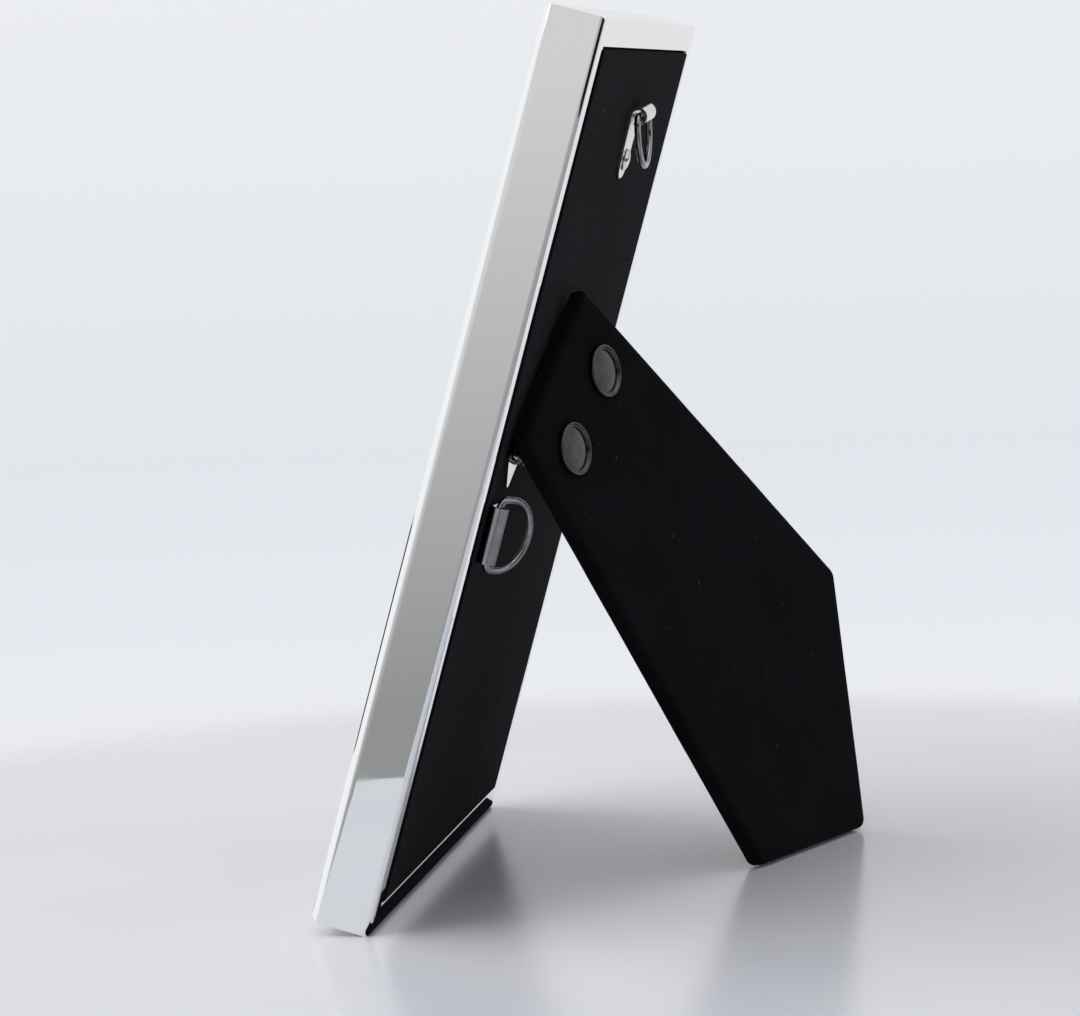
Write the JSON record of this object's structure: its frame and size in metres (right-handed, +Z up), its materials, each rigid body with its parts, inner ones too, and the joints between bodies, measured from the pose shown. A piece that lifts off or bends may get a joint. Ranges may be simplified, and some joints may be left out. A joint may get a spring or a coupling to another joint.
{
  "type": "easel back photo frame",
  "caption": "Slim polished metal photo frame leaning on a velvet-covered folding strut, with a push-in velvet back and D-ring hangers.",
  "frame": {"origin": "bottom centre of the box round the frame standing on its open strut", "axes": "+Z up, +Y behind the frame on the strut's side, +X to the right of someone facing the picture"},
  "size_m": [0.141, 0.1038, 0.1869],
  "materials": {
    "polished_nickel": "mirror polished",
    "black_velvet": "short dense pile",
    "clear_glass": "clear float",
    "white_card": "matt",
    "grey_card": "matt",
    "hardboard": "raw",
    "bright_steel": "nickel plated, bright",
    "gunmetal": "dark plated, satin"
  },
  "bodies": {
    "frame": {"rail_left": "polished_nickel", "rail_top": "polished_nickel", "rail_right": "polished_nickel", "rail_bottom": "polished_nickel", "glass": "clear_glass", "insert_card": "white_card", "spacer_card": "grey_card"},
    "back": {"back_board": "hardboard", "back_velvet": "black_velvet", "hinge_leaf_panel": "bright_steel", "panel_rivets": "bright_steel", "hanger_top_strap": "bright_steel", "hanger_top_rivet": "bright_steel", "hanger_side_strap": "bright_steel", "hanger_side_rivet": "bright_steel"},
    "strut": {"strut_board": "hardboard", "strut_velvet": "black_velvet", "hinge_leaf_strut": "bright_steel", "hinge_pin": "bright_steel", "strut_rivets": "gunmetal"},
    "top_ring": {"hanger_top_ring": "gunmetal"},
    "side_ring": {"hanger_side_ring": "gunmetal"}
  },
  "joints": [
    {"name": "back_slide", "type": "slide", "parent": "frame", "child": "back", "axis": [0, 0.9588, -0.2839], "range_m": [0, 0.02]},
    {"name": "strut_hinge", "type": "hinge", "parent": "back", "child": "strut", "pos_m": [0.0402, -0.0053, 0.1099], "axis": [-0.7071, 0.2008, 0.678], "range_deg": [0, 33.1]},
    {"name": "top_ring_hinge", "type": "hinge", "parent": "back", "child": "top_ring", "pos_m": [0, 0.01122, 0.16444], "axis": [0.9962, -0.0247, -0.0836], "range_deg": [-11.56, 158.44]},
    {"name": "side_ring_hinge", "type": "hinge", "parent": "back", "child": "side_ring", "pos_m": [0.0598, -0.01357, 0.08074], "axis": [-0.0349, -0.2838, -0.9583], "range_deg": [-27, 143]}
  ]
}
